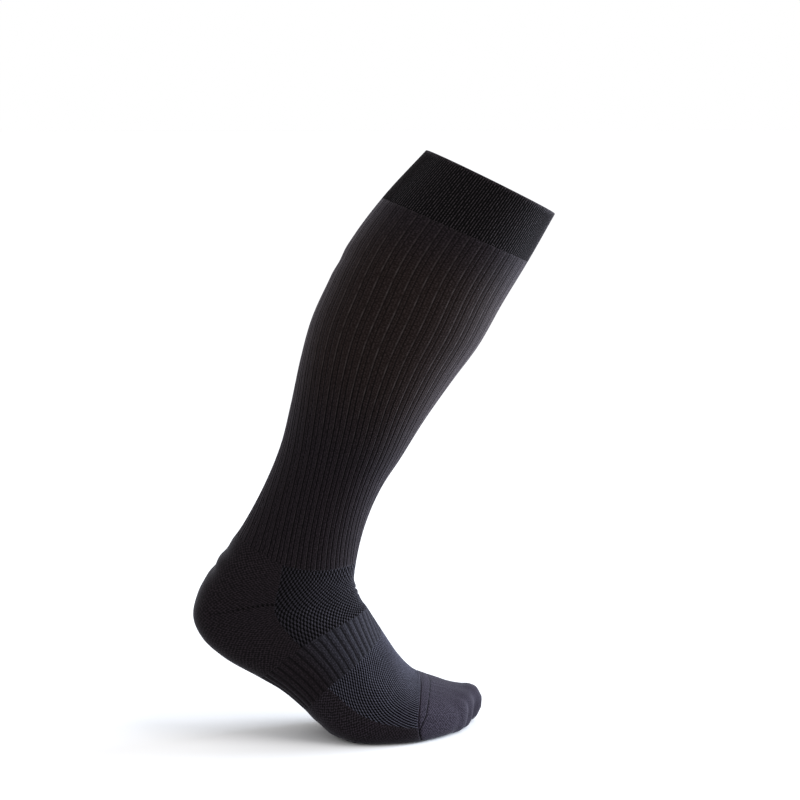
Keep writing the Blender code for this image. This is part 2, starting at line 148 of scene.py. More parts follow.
def evenly_around(loop):
    """The loops' points at even places around. Each side of a loop, from front to back,
    is half a turn, shared out by its own length of cloth."""
    travel = np.cumsum(np.linalg.norm(np.diff(loop, axis=1), axis=2), axis=1)
    travel = np.concatenate([np.zeros((len(loop), 1)), travel], axis=1)
    middle, whole = travel[:, LOOP_SAMPLES // 2, None], travel[:, -1:]
    places = np.where(
        travel <= middle, 0.5 * travel / middle, 0.5 + 0.5 * (travel - middle) / (whole - middle)
    )
    apart = 2.0 * np.arange(len(loop))[:, None]
    turns = np.arange(LOOP_SAMPLES) / LOOP_SAMPLES + apart
    known = (places + apart).ravel()
    return np.stack([np.interp(turns, known, loop[..., axis].ravel()) for axis in range(3)], axis=-1)


def unit_normals(points):
    """Outward unit normals of a closed grid of points, around crossed with along."""
    across = np.roll(points, -1, axis=1) - np.roll(points, 1, axis=1)
    normals = np.cross(across, np.gradient(points, axis=0))
    return normals / np.linalg.norm(normals, axis=-1, keepdims=True)


def wrapped(around):
    """Turns from the front, from -0.5 to 0.5."""
    return np.mod(around + 0.5, 1.0) - 0.5


# Where the joints bend, the tight knit is pushed into shallow creases, and it sags a little
# behind the ankle. Each crease has a middle, a half length and a half width, in
# millimetres, a slant in degrees from level, and a depth; a little roll lies on each side.
Crease = namedtuple("Crease", "around along half_length half_width slant depth")
CREASES = (
    #      around along length width slant depth
    Crease(+0.47, 352.0, 26.0, 3.2,  +4.0, 0.82),
    Crease(+0.53, 361.5, 19.0, 2.6,  -7.0, 0.68),
    Crease(+0.42, 343.0, 15.0, 2.2,  12.0, 0.52),
    Crease(+0.03, 372.0, 22.0, 3.6,  -3.0, 0.75),
    Crease(-0.05, 384.5, 17.0, 3.0,  +6.0, 0.57),
    Crease(-0.56, 368.0, 18.0, 2.8,  -9.0, 0.60),
    Crease(+0.62, 347.0, 14.0, 2.4, -14.0, 0.52),
    Crease(-0.23, 396.0, 16.0, 3.4, +21.0, 0.45),
    Crease(+0.21, 402.0, 13.0, 3.0, -24.0, 0.38),
    Crease(+0.50, 488.0, 24.0, 3.4,  +3.0, 0.60),
    Crease(+0.44, 500.5, 16.0, 2.8,  -5.0, 0.45),
    Crease(+0.02, 541.0, 18.0, 2.6,  +2.0, 0.45),
    Crease(-0.48, 108.0, 30.0, 6.0, +17.0, 0.52),
    Crease(+0.27, 226.0, 34.0, 7.0, +58.0, 0.52),
)
CREASE_GIRTH = 260.0  # millimetres of cloth in a turn, near enough where the creases are


def creased(along, around):
    """How far the skin is pushed in, in metres: each crease is a Gaussian trough along
    its line, less half as high a Gaussian roll on either side, faded at its ends."""
    depth = np.zeros((len(along), len(around)))
    for crease in CREASES:
        x = wrapped(around - crease.around)[None, :] * CREASE_GIRTH
        y = along[:, None] / MM - crease.along
        cos, sin = np.cos(radians(crease.slant)), np.sin(radians(crease.slant))
        run, off = x * cos + y * sin, (y * cos - x * sin) / crease.half_width
        bend = off + 0.4 * (run / crease.half_length) ** 2
        trough = np.exp(-(bend**2)) - 0.5 * np.exp(-((np.abs(bend) - 1.9) ** 2))
        depth += crease.depth * MM * trough * np.exp(-((run / crease.half_length) ** 2))
    return depth


TABLE_ROWS = 1224
TABLE_ALONG = np.linspace(0.0, STATIONS[-1], TABLE_ROWS)
TABLE_AROUND = np.arange(LOOP_SAMPLES) / LOOP_SAMPLES
SMOOTH_SKIN = evenly_around(loops(TABLE_ALONG))
SKIN = SMOOTH_SKIN - unit_normals(SMOOTH_SKIN) * creased(TABLE_ALONG, TABLE_AROUND)[..., None]
NORMALS = unit_normals(SKIN)


def read(table, around, along):
    """A table's values at places around and along, between its four nearest points."""
    column = np.mod(around, 1.0) * LOOP_SAMPLES
    row = np.clip(along / STATIONS[-1] * (TABLE_ROWS - 1), 0, TABLE_ROWS - 1.001)
    left, top = column.astype(int), row.astype(int)
    s, t = (column - left)[..., None], (row - top)[..., None]
    right = (left + 1) % LOOP_SAMPLES
    left = left % LOOP_SAMPLES
    upper = (1 - s) * table[top, left] + s * table[top, right]
    lower = (1 - s) * table[top + 1, left] + s * table[top + 1, right]
    return (1 - t) * upper + t * lower


def smooth(value):
    """A smooth step from 0 to 1."""
    t = np.clip(value, 0, 1)
    return t * t * (3 - 2 * t)


# A border between zones that lies nearer the rim on top than at the sides: by how much on
# top, and the turns from the front between which it comes down to its section.
Rise = namedtuple("Rise", "height top foot")
RISES = {
    "rib_end": Rise(12 * MM, 0.03, 0.31),
    "arch_front": Rise(18 * MM, -0.05, 0.28),
    "toe_seam": Rise(7 * MM, 0.0, 0.34),
}


def border(section, around):
    """How far along a section's border lies at each place around."""
    rise = RISES.get(section, Rise(0.0, 0.0, 1.0))
    down = smooth((np.abs(wrapped(around)) - rise.top) / (rise.foot - rise.top))
    return STATION[section] - rise.height * (1 - down)


def rows_between(start, end, around):
    """Even places along between two borders, for a grid of places around."""
    way = np.linspace(0, 1, len(around))[:, None]
    return (1 - way) * border(start, around) + way * border(end, around)


TUCK = 0.45 * MM  # how far a piece's edge runs on under its neighbour's, and down


def tucked(points, normals, sides, first, last):
    """The grid with its borders led on and down by TUCK, so that pieces knit together."""

    def lead(border, inside, normal):
        onward = border - inside
        onward /= np.maximum(np.linalg.norm(onward, axis=-1, keepdims=True), 1e-9)
        return border + TUCK * (onward - normal)

    if first:
        points = np.concatenate([lead(points[:1], points[1:2], normals[:1]), points])
        normals = np.concatenate([normals[:1], normals])
    if last:
        points = np.concatenate([points, lead(points[-1:], points[-2:-1], normals[-1:])])
        normals = np.concatenate([normals, normals[-1:]])
    if sides:
        left = lead(points[:, :1], points[:, 1:2], normals[:, :1])
        right = lead(points[:, -1:], points[:, -2:-1], normals[:, -1:])
        points = np.concatenate([left, points, right], axis=1)
    return points


def led_on(grid, sides, first, last):
    """A grid of numbers, with its borders repeated where tucked() adds points."""
    rows = (int(first), int(last))
    columns = (int(sides), int(sides))
    return np.pad(grid, (rows, columns) + ((0, 0),) * (grid.ndim - 2), mode="edge")


Cloth = namedtuple("Cloth", "object widest longest area")  # worn sizes, in metres


def make_cloth(
    name, around, along, depth, hollow, thickness, cells, step, closed=True, rim=False, tip=False
):
    """A closed shell of cloth under the skin, with a UV map that counts its cells.

    around, along and depth are grids: the outer face has a point at each, pushed in by
    depth. hollow is how much of that is a groove or hole. The inner face takes every
    step-th row and column, thickness below the skin. On a closed tube the last column
    meets the first one.
    """
    points, normals = read(SKIN, around, along), read(NORMALS, around, along)
    sides = not closed
    tucks = (sides, not rim, not tip)
    outer = tucked(points - normals * depth[..., None], normals, *tucks)
    below = np.maximum(thickness, depth + 0.3 * MM)
    inner = tucked(points - normals * below[..., None], -normals, *tucks)
    outer_cells, hollow = led_on(cells, *tucks), led_on(hollow, *tucks)
    step_along, step_around = step
    keep_rows = np.unique(np.append(np.arange(0, len(outer), step_along), len(outer) - 1))
    keep_columns = np.unique(np.append(np.arange(0, outer.shape[1], step_around), outer.shape[1] - 1))
    inner = inner[np.ix_(keep_rows, keep_columns)]
    inner_cells = outer_cells[np.ix_(keep_rows, keep_columns)]

    def vertex_numbers(grid, start):
        """Numbers of a grid's points; on a closed tube the last column is the first."""
        used = grid.shape[1] - 1 if closed else grid.shape[1]
        numbers = start + np.arange(len(grid) * used).reshape(len(grid), used)
        return np.column_stack([numbers, numbers[:, 0]]) if closed else numbers

    used = slice(0, -1) if closed else slice(None)
    outer_numbers = vertex_numbers(outer, 0)
    inner_numbers = vertex_numbers(inner, outer_numbers.max() + 1)
    vertices = [outer[:, used].reshape(-1, 3), inner[:, used].reshape(-1, 3)]
    hollows = [hollow[:, used].ravel(), np.zeros(inner[:, used].shape[:2]).ravel()]

    # Corners are numbered over both grids with their last columns, and then one row of
    # tip corners for each grid, all on the same point.
    outer_corner = np.arange(outer[..., 0].size).reshape(outer.shape[:2])
    inner_corner = outer_corner.size + np.arange(inner[..., 0].size).reshape(inner.shape[:2])
    corner_vertex = [outer_numbers.ravel(), inner_numbers.ravel()]
    corner_cell = [outer_cells.reshape(-1, 2), inner_cells.reshape(-1, 2)]

    def quads(corner, outwards):
        a, b, c, d = corner[:-1, :-1], corner[:-1, 1:], corner[1:, 1:], corner[1:, :-1]
        ordered = (a, b, c, d) if outwards else (a, d, c, b)
        return np.stack(ordered, axis=-1).reshape(-1, 4).tolist()

    faces = quads(outer_corner, True) + quads(inner_corner, False)
    for cell in range(len(keep_columns) - 1):
        run = slice(keep_columns[cell], keep_columns[cell + 1] + 1)
        top, bottom = outer_corner[0, run], outer_corner[-1, run]
        faces.append([*top[::-1], inner_corner[0, cell], inner_corner[0, cell + 1]])
        if not tip:
            faces.append([*bottom, inner_corner[-1, cell + 1], inner_corner[-1, cell]])
    for cell in range(len(keep_rows) - 1 if sides else 0):
        run = slice(keep_rows[cell], keep_rows[cell + 1] + 1)
        left, right = outer_corner[run, 0], outer_corner[run, -1]
        faces.append([*left, inner_corner[cell + 1, 0], inner_corner[cell, 0]])
        faces.append([*right[::-1], inner_corner[cell, -1], inner_corner[cell + 1, -1]])
    if tip:
        for grid, corner, outwards in ((outer, outer_corner, True), (inner, inner_corner, False)):
            number = sum(len(part) for part in vertices)
            vertices.append(grid[-1].mean(axis=0)[None])
            hollows.append(np.zeros(1))
            fan = sum(len(part) for part in corner_vertex) + np.arange(grid.shape[1] - 1)
            corner_vertex.append(np.full(len(fan), number))
            corner_cell.append(corner_cell[0 if outwards else 1][corner[-1, :-1] - corner[0, 0]])
            ends = (corner[-1, :-1], corner[-1, 1:]) if outwards else (corner[-1, 1:], corner[-1, :-1])
            faces += np.column_stack([*ends, fan]).tolist()

    corners = np.concatenate([np.asarray(face) for face in faces])
    corner_vertex = np.concatenate(corner_vertex)
    vertices = np.concatenate(vertices)
    sizes = np.array([len(face) for face in faces])
    mesh = bpy.data.meshes.new(name)
    mesh.vertices.add(len(vertices))
    mesh.vertices.foreach_set("co", vertices.astype(np.float32).ravel())
    mesh.loops.add(len(corners))
    mesh.loops.foreach_set("vertex_index", corner_vertex[corners].astype(np.int32))
    mesh.polygons.add(len(faces))
    mesh.polygons.foreach_set("loop_start", (np.cumsum(sizes) - sizes).astype(np.int32))
    mesh.update(calc_edges=True)
    mesh.uv_layers.new(name="cells")
    mesh.uv_layers["cells"].data.foreach_set(
        "uv", np.concatenate(corner_cell)[corners].astype(np.float32).ravel()
    )
    mesh.attributes.new("hollow", "FLOAT", "POINT")
    mesh.attributes["hollow"].data.foreach_set("value", np.concatenate(hollows).astype(np.float32))
    mesh.shade_smooth()
    obj = bpy.data.objects.new(name, mesh)
    bpy.context.scene.collection.objects.link(obj)
    widths = np.linalg.norm(np.diff(points, axis=1), axis=-1)
    lengths = np.linalg.norm(np.diff(points, axis=0), axis=-1)
    area = (widths[:-1] * lengths[:, :-1]).sum()
    return Cloth(obj, widths.sum(axis=1).max(), lengths.sum(axis=0).max(), area)


class Wire:
    """An output socket in a material, on which Python's operators add Math nodes."""

    def __init__(self, finish, socket):
        self.finish = finish
        self.socket = socket

    def math(self, operation, *others):
        inputs = dict(enumerate((self, *others)))
        return self.finish.add("ShaderNodeMath", {"operation": operation}, inputs)

    def __add__(self, other):
        return self.math("ADD", other)

    __radd__ = __add__

    def __mul__(self, other):
        return self.math("MULTIPLY", other)

    __rmul__ = __mul__

    def __sub__(self, other):
        return self.math("SUBTRACT", other)

    def __rsub__(self, other):
        return self * -1.0 + other

    def __pow__(self, power):
        return self.math("POWER", power)

    def __abs__(self):
        return self.math("ABSOLUTE")

    def fraction(self):
        return self.math("FRACT")

    def wave(self):
        """One at whole numbers, nought half-way between them."""
        return (self * (2 * np.pi)).math("COSINE") * 0.5 + 0.5

    def between(self, low, high):
        """A smooth step from nought at low to one at high."""
        inputs = {"Value": self, "From Min": low, "From Max": high}
        return self.finish.add("ShaderNodeMapRange", {"interpolation_type": "SMOOTHSTEP"}, inputs)


class Finish:
    """A piece's material. add() places any node and gives back one of its outputs."""

    def __init__(self, name, roughness, specular, sheen, sheen_roughness, sheen_tint):
        self.material = bpy.data.materials.new(name)
        self.material.use_nodes = True
        self.tree = self.material.node_tree
        self.shader = self.tree.nodes["Principled BSDF"]
        self.shader.inputs["Roughness"].default_value = roughness
        self.shader.inputs["Specular IOR Level"].default_value = specular
        self.shader.inputs["Sheen Weight"].default_value = sheen
        self.shader.inputs["Sheen Roughness"].default_value = sheen_roughness
        self.shader.inputs["Sheen Tint"].default_value = (*sheen_tint, 1.0)

    def put(self, socket, value):
        if isinstance(value, Wire):
            self.tree.links.new(value.socket, socket)
        elif isinstance(value, tuple) and len(value) == 3 and socket.type == "RGBA":
            socket.default_value = (*value, 1.0)
        else:
            socket.default_value = value

    def add(self, kind, settings=None, inputs=None, output=0):
        node = self.tree.nodes.new(kind)
        for setting, value in (settings or {}).items():
            setattr(node, setting, value)
        for name, value in (inputs or {}).items():
            self.put(node.inputs[name], value)
        return Wire(self, node.outputs[output])

    def cells(self):
        """The UV map's two numbers: wales around and courses along."""
        both = self.add("ShaderNodeUVMap", {"uv_map": "cells"})
        x = self.add("ShaderNodeSeparateXYZ", None, {0: both}, "X")
        return x, Wire(self, x.socket.node.outputs["Y"])

    def hollow(self):
        """How deep a point lies in a groove or hole, in millimetres."""
        return self.add("ShaderNodeAttribute", {"attribute_name": "hollow"}, None, "Fac") * (1 / MM)

    def noise(self, scale):
        """Noise from 0 to 1 on the object's own coordinates, scale in cycles a metre."""
        place = self.add("ShaderNodeTexCoord", None, None, "Object")
        return self.add("ShaderNodeTexNoise", None, {"Vector": place, "Scale": scale, "Detail": 2.0})

    def grain(self, x, y, scale=1.0):
        """Noise from 0 to 1 that follows the knit, one lump for each cell at scale 1."""
        place = self.add("ShaderNodeCombineXYZ", None, {"X": x, "Y": y})
        return self.add("ShaderNodeTexNoise", None, {"Vector": place, "Scale": scale, "Detail": 1.0})

    def mix(self, share, low, high):
        """The colour low where share is nought and high where it is one."""
        settings = {"data_type": "RGBA"}
        return self.add("ShaderNodeMix", settings, {0: share, 6: low, 7: high}, 2)

    def colour(self, value):
        self.put(self.shader.inputs["Base Color"], value)

    def relief(self, height, strength, distance):
        inputs = {"Height": height, "Strength": strength, "Distance": distance}
        bump = self.add("ShaderNodeBump", None, inputs)
        self.put(self.shader.inputs["Normal"], bump)


STITCH_HEIGHT = 0.25 * MM


def stitches(wale, course):
    """Height of knit loops from 0 to 1: each wale is round across, and its two legs
    slant down to its middle, so that the loops are a column of Vs."""
    across = abs(wale.fraction() * 2.0 - 1.0)
    leg = (course + across * 0.45).wave()
    return (1.0 - across**2.0) * (leg * 0.6 + 0.4)


def yarn_share(finish, wale, course, plated):
    """How much of the lighter yarn shows, from 0 to 1: more on the tops of the stitches'
    loops in a rib, a painted highlight that follows their relief, and where plated is 1 in
    every other stitch, like a bird's eye. It is uneven, because the yarn is spun from darker
    and lighter filaments."""
    heather = finish.grain(wale, course).between(0.36, 0.66)
    # Painted highlight: the tops of the loops are lighter and the hollows between them darker.
    crown_highlight = stitches(wale, course) * 0.8 + 0.2
    eye = ((wale * 0.5).wave() * 2.0 - 1.0) * ((course * 0.5).wave() * 2.0 - 1.0)
    eye = (eye * 0.5 + 0.5).between(0.2, 0.8)
    return (crown_highlight * (1.0 - plated) + eye * plated) * (heather * 0.8 + 0.15)


def black_knit(name, yarn, light_yarn, groove, plated=0.0, sheen=0.12):
    """A black elastic knit: dark yarn with a lighter one, with painted shade in its
    grooves, a V for each stitch and a thin bluish sheen. groove is the depths in
    millimetres between which the painted shade deepens."""
    finish = Finish(name, 0.8, 0.04, sheen, 0.35, (0.88, 0.88, 1.0))
    wale, course = finish.cells()
    lit = finish.mix(yarn_share(finish, wale, course, plated), yarn, light_yarn)
    # Painted shade: deeper points in grooves and holes are mixed towards a dark copy of the yarn.
    shade = finish.hollow().between(groove[0], groove[1])
    finish.colour(finish.mix(shade, lit, tuple(0.15 * part for part in yarn)))
    finish.relief(stitches(wale, course), 0.5, STITCH_HEIGHT)
    return finish


def declare_cloth(cloth, nodes):
    """Hangs each cloth under the root, and hides the solid parts that it stands for."""
    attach(cloth.object, "root")
    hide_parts(*nodes)


WALES = 170  # needles round the machine's cylinder
COURSE = 1.0 * MM


def counted(around, along):
    """The knit's cells at each point: wales round the tube and courses along it."""
    return np.stack(np.broadcast_arrays(WALES * around, along / COURSE), axis=-1)


WELT_THICKNESS = 2.4 * MM
WELT_GROOVE = 0.45 * MM
WELT_POINTS = 6  # points across one fine rib
RIM_ROUND = 0.8 * MM  # radius of the fold at the rim
RIM_FADE = 4 * MM  # below the rim the ribs reach their full depth

welt_rows = np.concatenate(
    [
        RIM_ROUND * np.array([0.0, 0.12, 0.35, 0.7]),
        np.linspace(1.2 * MM, STATION["welt_foot"], 30),
    ]
)
welt_around, welt_along = np.meshgrid(np.linspace(0.0, 1.0, WALES * WELT_POINTS + 1), welt_rows)
fold = RIM_ROUND - np.sqrt(RIM_ROUND**2 - np.clip(RIM_ROUND - welt_along, 0, RIM_ROUND) ** 2)
welt_ridge = (0.5 + 0.5 * np.cos(2 * np.pi * WALES * welt_around)) ** 1.5
# The ribs fade into the fold, where the knit turns over on itself.
welt_groove = WELT_GROOVE * (1 - welt_ridge) * np.clip(welt_along / RIM_FADE, 0.25, 1.0)
welt = make_cloth(
    "welt_cloth", welt_around, welt_along, fold + welt_groove, welt_groove,
    WELT_THICKNESS - fold, counted(welt_around + 0.5 / WALES, welt_along), (3, WELT_POINTS), rim=True,
)
BLACK = (0.0025, 0.0019, 0.0023)
BLACK_LIT = (0.0205, 0.0150, 0.0186)
WELT_LIT = (0.0400, 0.0325, 0.0365)
# Painted shade in the grooves between the fine ribs, from 0.03 to 0.30 mm deep.
welt_knit = black_knit("welt_knit", BLACK, WELT_LIT, (0.03, 0.30), sheen=0.08)
welt.object.data.materials.append(welt_knit.material)
declare_cloth(welt, ["welt"])

# ---------------------------------------------------------------------------
# The leg: the graduated compression tube, a broad rib of three wales and a single wale
# by turns, laid-in elastic between them. It is stretched thinnest over the calf.

LEG_RIBS = 34
LEG_TWIST = -0.13  # turns that the ribs have wandered round the leg at the ankle
LEG_THICKNESS = 1.6 * MM
LEG_GROOVE = 0.50  # millimetres, as in the table
# One rib's repeat: places in shares of the repeat, depths in millimetres.
LEG_RIB = (
    (0.00, 0.14), (0.03, 0.02), (0.07, 0.00), (0.13, 0.05), (0.19, 0.12), (0.25, 0.05), (0.31, 0.02),
    (0.37, 0.05), (0.42, 0.12), (0.47, 0.05), (0.53, 0.02), (0.58, 0.14), (0.615, LEG_GROOVE),
    (0.65, LEG_GROOVE), (0.69, 0.14), (0.75, 0.04), (0.82, 0.04), (0.88, 0.14),
    (0.925, LEG_GROOVE), (0.96, LEG_GROOVE),
)


def repeated(profile, repeats):
    """Places around and depths in metres of a rib's profile, repeated round the tube."""
    places, depths = np.array(profile).T
    around = ((np.arange(repeats)[:, None] + places) / repeats).ravel()
    depth = np.tile(depths, repeats) * MM
    return np.append(around, around[0] + 1.0), np.append(depth, depth[0])


LEG_ROWS = 112
# Below the calf the broad rib draws in until it is hardly wider than the single wale: the
# places of the rib's edges in its repeat over the calf, and where they are further down.
RIB_OVER_CALF = (0.0, 0.615, 0.65, 0.925, 1.0)
RIB_DRAWN_IN = (0.0, 0.47, 0.505, 0.925, 1.0)
CALF_END, CALF_FADE = 0.150, 0.100  # metres along, where the calf ends and over how far

leg_places, leg_profile = repeated(LEG_RIB, LEG_RIBS)
way_down = np.linspace(0, 1, LEG_ROWS)[:, None]
rib_number, rib_place = np.divmod(leg_places * LEG_RIBS, 1.0)
drawn_place = np.interp(rib_place, RIB_OVER_CALF, RIB_DRAWN_IN)
drawn_in = ((rib_number + drawn_place) / LEG_RIBS - leg_places) * smooth((way_down - 0.30) / 0.30)
leg_around = leg_places + drawn_in + LEG_TWIST * way_down**2
leg_along = rows_between("welt_foot", "rib_end", leg_around)
# The ribs lie flatter over the calf, where the knit is stretched widest.
over_calf = 1 - smooth((leg_along - CALF_END) / CALF_FADE)
leg_groove = leg_profile * (1 - 0.40 * over_calf)
leg_cells = counted(np.broadcast_to(leg_places, leg_around.shape), leg_along)
leg = make_cloth(
    "leg_cloth", leg_around, leg_along, leg_groove, leg_groove, LEG_THICKNESS, leg_cells, (3, 5),
)


CALF_BROWN = (0.0050, 0.0026, 0.0020)
CALF_BROWN_LIT = (0.0230, 0.0160, 0.0148)
# Painted highlight on the first wale of each broad rib.
FIRST_WALE_HIGHLIGHT = (0.062, 0.052, 0.052)
# Painted shade in the leg's grooves.
LEG_GROOVE_PAINTED_SHADE = (0.0008, 0.0006, 0.0007)
WALES_IN_RIB = WALES / LEG_RIBS  # needles in one repeat, those of its grooves included


def leg_finish():
    """The leg's finish. Where it is stretched thinnest, over the calf, skin warms it
    through, and the first wale of each broad rib, which stands up, has a painted highlight."""
    finish = Finish("leg_knit", 0.8, 0.04, 0.18, 0.35, (0.93, 0.86, 1.0))
    wale, course = finish.cells()
    share = yarn_share(finish, wale, course, 0.0)
    calf = course.between(40.0, 100.0) * (1.0 - course.between(170.0, 260.0))
    thin = finish.mix(share, CALF_BROWN, CALF_BROWN_LIT)
    lit = finish.mix(calf * 0.85, finish.mix(share, BLACK, BLACK_LIT), thin)
    place = (wale * (1.0 / WALES_IN_RIB)).fraction()
    # Painted highlight along the first wale of each broad rib, broken into dashes, and stronger over the
    # calf.
    first_wale_highlight = place.between(0.0, 0.04) * (1.0 - place.between(0.07, 0.12))
    broken = finish.grain(wale * (1.0 / WALES_IN_RIB), course * 0.12).between(0.25, 0.7)
    lit = finish.mix(first_wale_highlight * broken * (calf * 0.24 + 0.16), lit, FIRST_WALE_HIGHLIGHT)
    # Painted shade in the grooves between the ribs.
    shade = finish.hollow().between(0.08, 0.45)
    finish.colour(finish.mix(shade, lit, LEG_GROOVE_PAINTED_SHADE))
    finish.relief(stitches(wale, course), 0.5, STITCH_HEIGHT)
    return finish


leg_knit = leg_finish()
leg.object.data.materials.append(leg_knit.material)
declare_cloth(leg, ["leg_calf", "leg_shin", "leg_ankle"])

# ---------------------------------------------------------------------------
# The ankle: an airy net of small holes over the instep, knitted with tucks on every
# other needle, and a plain pocket round the heel. A gore joins them on each side.

HEEL_SEAM = (0.290, 0.255, 0.275)
ANKLE_MESH_THICKNESS = 1.4 * MM
HEEL_THICKNESS = 2.0 * MM


def seam_edge(seam, rows):
    """A side seam's place around in each row, on a parabola through its three values."""
    parabola = np.polyfit((0.0, 0.5, 1.0), seam, 2)
    return np.polyval(parabola, np.linspace(0, 1, rows))[:, None]


def over_front(seam, rows, columns):
    """Places around over the front, from the inner side's seam to the outer side's."""
    return seam_edge(seam, rows) * np.linspace(-1, 1, columns + 1)


def over_back(seam, rows, columns):
    """Places around over the back, from the outer side's seam to the inner side's."""
    return 0.5 + (0.5 - seam_edge(seam, rows)) * np.linspace(-1, 1, columns + 1)


Net = namedtuple("Net", "across along lean")  # holes a turn, holes a metre, metres a turn


FRONT_ROUND = 0.03  # turns over which the courses' lean turns round on the front
DRIFT_ROUND = 0.10  # turns over which the wales' drift does


def net_phases(net, around, along, drift):
    """Counts of a net's two families of cords at each point: across times the place
    around, less the wales' drift, and plus or minus along times the course, which
    leans down from the front to the sides."""
    down = np.sqrt(around**2 + FRONT_ROUND**2) - FRONT_ROUND
    wale = net.across * (around - drift * np.tanh(around / DRIFT_ROUND))
    course = net.along * (along - net.lean * down)
    return wale + course, wale - course


def net_holes(first, second, weight):
    """One at a hole's middle, nought on the cords: both families' waves, added, the
    second by its weight, so that its cords stand out where that is over a half."""
    waves = (1 - weight) * np.cos(2 * np.pi * first) + weight * np.cos(2 * np.pi * second)
    return smooth((0.5 + 0.5 * waves - 0.30) / 0.38)


# Painted shade for the net's holes, which are dents, not cut through.
HOLE_PAINTED_SHADE = (0.0006, 0.0005, 0.0006)


def net_knit(name, yarn, light_yarn, net, sides, depth):
    """The net's finish: painted shade in its holes, which are only dents, and lit cords of a
    twisted yarn that grow darker at the sides, between two places around."""
    finish = Finish(name, 0.75, 0.05, 0.10, 0.35, (0.82, 0.88, 1.0))
    first, second = finish.cells()
    heather = finish.grain(first, second, 4.0)
    cloudy = finish.noise(30.0).between(0.3, 0.7)
    off_front = abs(first + second) * (0.5 / net.across)
    # The cords darken from the front towards the sides, between the two places in sides.
    front_share = 1.0 - off_front.between(*sides) * 0.8
    share = (heather.between(0.38, 0.72) * 0.80 + cloudy * 0.12) * front_share
    lit = finish.mix(share, yarn, light_yarn)
    # Painted shade in the holes, deepest at their middles.
    painted_hole_shade = finish.hollow().between(0.2 * depth / MM, 0.7 * depth / MM)
    finish.colour(finish.mix(painted_hole_shade, lit, HOLE_PAINTED_SHADE))
    finish.relief(heather, 0.4, 0.2 * MM)
    return finish


ANKLE_NET = Net(across=95, along=140, lean=0.143)
ANKLE_HOLE = 1.0 * MM
ankle_around = over_front(HEEL_SEAM, 190, 396)
ankle_along = rows_between("rib_end", "arch_back", ankle_around)
# The wales lie nearest the front at the ankle's bend, and spread above and below it.
ANKLE_BEND = 0.384  # metres along
ankle_drift = 14.7 * (ankle_along - ANKLE_BEND) ** 2
ankle_phases = net_phases(ANKLE_NET, ankle_around, ankle_along, ankle_drift)
ankle_holes = ANKLE_HOLE * net_holes(*ankle_phases, 0.54)
ankle = make_cloth(
    "ankle_mesh_cloth", ankle_around, ankle_along, ankle_holes, ankle_holes,
    ANKLE_MESH_THICKNESS, np.stack(ankle_phases, axis=-1), (6, 6), closed=False,
)
MESH_YARN = (0.0095, 0.0080, 0.0105)
MESH_LIT = (0.0480, 0.0455, 0.0590)
ankle_knit = net_knit("ankle_mesh_knit", MESH_YARN, MESH_LIT, ANKLE_NET, (0.12, 0.27), ANKLE_HOLE)
ankle.object.data.materials.append(ankle_knit.material)
declare_cloth(ankle, ["ankle_mesh"])

# The gore on each side is a line where the pocket's rows were held and picked up again. It
# shows as a row of slanted dents that grow towards the net, with painted shade in them.
heel_around = over_back(HEEL_SEAM, 180, 340)
heel_along = rows_between("rib_end", "arch_back", heel_around)
heel_turns = np.abs(wrapped(heel_around))  # turns from the front, on either side
GORE_ALONG, GORE_FALL = 0.3818, 0.0044  # metres along at the net, and further at the back
GORE_DENTS = 88.0  # dents in a turn
off_gore = (heel_along - (GORE_ALONG + GORE_FALL * smooth((heel_turns - 0.27) / 0.14))) / MM
dent = smooth(np.cos(2 * np.pi * (heel_turns * GORE_DENTS + off_gore * 0.22)) * 0.9 + 0.25)
dent_height = 0.85 + 0.5 * smooth((0.37 - heel_turns) / 0.1)  # millimetres
dent_depth = 0.22 * MM + 0.20 * MM * smooth((0.39 - heel_turns) / 0.12)
gore = dent_depth * dent * np.exp(-((off_gore / dent_height) ** 2))
gore = gore * smooth((0.43 - heel_turns) / 0.02)
heel = make_cloth(
    "heel_pocket_cloth", heel_around, heel_along, gore, gore,
    HEEL_THICKNESS, counted(heel_around, heel_along), (6, 6), closed=False,
)
heel_knit = black_knit("heel_pocket_knit", BLACK, BLACK_LIT, (0.04, 0.25), plated=0.9)
heel.object.data.materials.append(heel_knit.material)
declare_cloth(heel, ["heel_pocket"])

# ---------------------------------------------------------------------------
# The arch band: a grip of round ribs knitted with more elastic, all round the arch.

ARCH_RIBS = 47
ARCH_THICKNESS = 1.9 * MM
ARCH_GROOVE = 0.55 * MM
ARCH_POINTS = 12
ARCH_LEAN = 1.3  # turns a metre by which the ribs lean to the outer side on top of the foot

arch_places = np.linspace(0.0, 1.0, ARCH_RIBS * ARCH_POINTS + 1)
arch_lean = ARCH_LEAN * np.maximum(np.cos(np.pi * wrapped(arch_places) / 0.65), 0)
arch_breadth = STATION["arch_front"] - STATION["arch_back"]
arch_around = arch_places + arch_lean * arch_breadth * np.linspace(-0.5, 0.5, 48)[:, None]
arch_along = rows_between("arch_back", "arch_front", arch_around)
arch_rib = (0.5 + 0.5 * np.cos(2 * np.pi * ARCH_RIBS * arch_places)) ** 1.4
arch_groove = np.broadcast_to(ARCH_GROOVE * arch_rib, arch_around.shape)
arch_cells = counted(np.broadcast_to(arch_places, arch_around.shape), arch_along)
arch = make_cloth(
    "arch_band_cloth", arch_around, arch_along, arch_groove, arch_groove,
    ARCH_THICKNESS, arch_cells, (3, 6),
)


ARCH_YARN = (0.0062, 0.0058, 0.0076)
ARCH_LIT = (0.0410, 0.0400, 0.0530)
# Painted shade in the arch band's grooves.
ARCH_GROOVE_PAINTED_SHADE = (0.0012, 0.0010, 0.0012)


